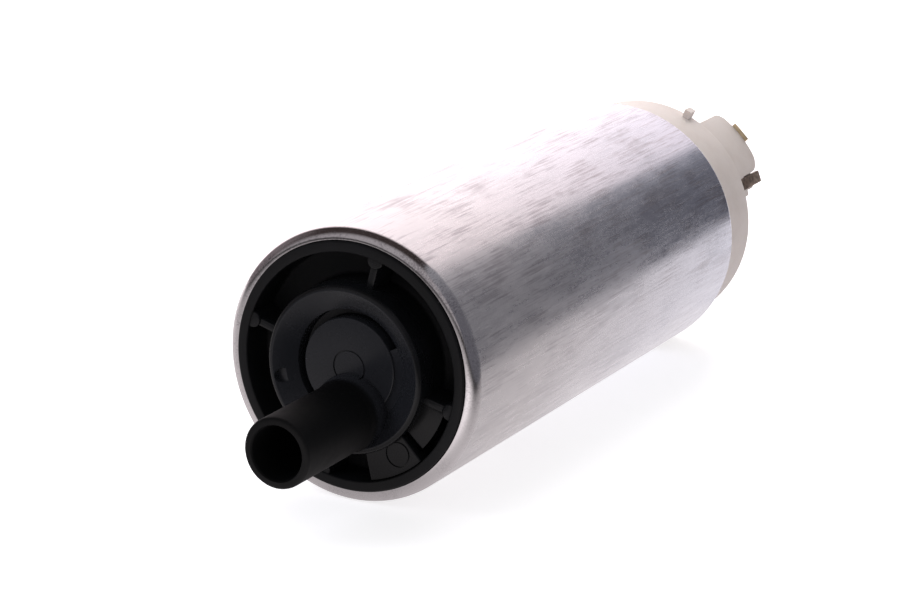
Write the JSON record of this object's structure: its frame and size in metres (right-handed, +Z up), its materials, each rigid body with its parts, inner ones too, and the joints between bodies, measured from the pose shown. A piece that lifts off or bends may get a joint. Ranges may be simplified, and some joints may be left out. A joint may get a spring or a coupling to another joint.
{
  "type": "fuel pump",
  "caption": "In-tank electric fuel pump: crimped aluminium barrel, black inlet cover with offset spigot, white outlet cap with brush towers, blade terminals and barbed nipple.",
  "frame": {"origin": "on the pump's axis, half way along the barrel", "axes": "+Y along the axis towards the outlet nipple, +Z up as the pump lies in the picture, and +X to the right as seen from the inlet end"},
  "size_m": [0.043, 0.1435, 0.043],
  "materials": {
    "barrel": "drawn aluminium, brushed lengthwise and scuffed",
    "black_plastic": "glossy moulded acetal",
    "white_plastic": "satin moulded acetal, natural cream white",
    "seal_rubber": "moulded nitrile rubber",
    "sintered_steel": "sintered steel, ground flat",
    "bronze": "sintered bronze",
    "shaft_steel": "ground steel",
    "coupler_plastic": "filled moulded plastic",
    "laminations": "stacked steel sheet",
    "insulator_plastic": "moulded nylon",
    "winding_copper": "enamelled copper wire",
    "phenolic": "moulded phenolic",
    "segment_copper": "turned copper",
    "flux_steel": "rolled steel sheet",
    "ferrite": "sintered ferrite",
    "spring_steel": "drawn steel",
    "brush_carbon": "pressed copper graphite",
    "brass": "stamped brass",
    "terminal_metal": "stamped brass, tarnished dark",
    "viton": "moulded fluoro rubber"
  },
  "bodies": {
    "housing": {"barrel_shell": "barrel", "inlet_cover": "black_plastic", "inlet_seal": "seal_rubber", "inlet_plate": "sintered_steel", "eccentric_ring": "sintered_steel", "outlet_plate": "sintered_steel", "locating_pins": "shaft_steel", "lower_bushing": "bronze", "upper_bushing": "bronze", "flux_ring": "flux_steel", "magnet_1": "ferrite", "magnet_2": "ferrite", "magnet_clips": "spring_steel", "outlet_cap": "white_plastic", "outlet_nipple": "white_plastic", "cap_seal": "seal_rubber", "terminal_positive": "terminal_metal", "terminal_negative": "terminal_metal", "brush_clip_1": "brass", "brush_clip_2": "brass", "brush_spring_1": "spring_steel", "brush_spring_2": "spring_steel", "brush_shunt_1": "winding_copper", "brush_shunt_2": "winding_copper", "choke_coil_1": "winding_copper", "choke_coil_2": "winding_copper", "choke_rod_1": "ferrite", "choke_rod_2": "ferrite", "check_valve_spring": "spring_steel", "check_valve_retainer": "brass", "relief_valve_seat": "brass", "relief_valve_spring": "spring_steel", "relief_valve_plug": "brass"},
    "armature": {"armature_shaft": "shaft_steel", "drive_coupler": "coupler_plastic", "inner_rotor": "sintered_steel", "lower_thrust_washer": "coupler_plastic", "upper_thrust_washer": "coupler_plastic", "armature_core": "laminations", "lower_insulator": "insulator_plastic", "upper_insulator": "insulator_plastic", "windings": "winding_copper", "commutator_base": "phenolic", "commutator_segments": "segment_copper"},
    "outer_rotor": {"outer_rotor": "sintered_steel"},
    "check_valve": {"check_valve_poppet": "insulator_plastic", "check_valve_seal": "viton"},
    "relief_valve": {"relief_valve_ball": "spring_steel"},
    "brush_1": {"brush_1": "brush_carbon"},
    "brush_2": {"brush_2": "brush_carbon"}
  },
  "joints": [
    {"name": "armature_spin", "type": "hinge", "parent": "housing", "child": "armature", "pos_m": [0, 0, 0], "axis": [0, -1, 0], "continuous": true},
    {"name": "outer_rotor_spin", "type": "hinge", "parent": "housing", "child": "outer_rotor", "pos_m": [0.0013, -0.02985, 0], "axis": [0, -1, 0], "continuous": true},
    {"name": "check_valve_lift", "type": "slide", "parent": "housing", "child": "check_valve", "axis": [0, 1, 0], "range_m": [0, 0.002], "stiffness_N_per_m": 150, "springref_m": -0.002, "deforming": ["check_valve_spring"]},
    {"name": "relief_valve_lift", "type": "slide", "parent": "housing", "child": "relief_valve", "axis": [0, 1, 0], "range_m": [0, 0.0015], "stiffness_N_per_m": 1500, "springref_m": -0.002, "deforming": ["relief_valve_spring"]},
    {"name": "brush_1_slide", "type": "slide", "parent": "housing", "child": "brush_1", "axis": [0, 1, 0], "range_m": [0, 0.002], "stiffness_N_per_m": 120, "springref_m": -0.004, "deforming": ["brush_spring_1", "brush_shunt_1"]},
    {"name": "brush_2_slide", "type": "slide", "parent": "housing", "child": "brush_2", "axis": [0, 1, 0], "range_m": [0, 0.002], "stiffness_N_per_m": 120, "springref_m": -0.004, "deforming": ["brush_spring_2", "brush_shunt_2"]}
  ],
  "couplings": [
    {"joint": "outer_rotor_spin", "follows": "armature_spin", "ratio": 0.85714}
  ]
}
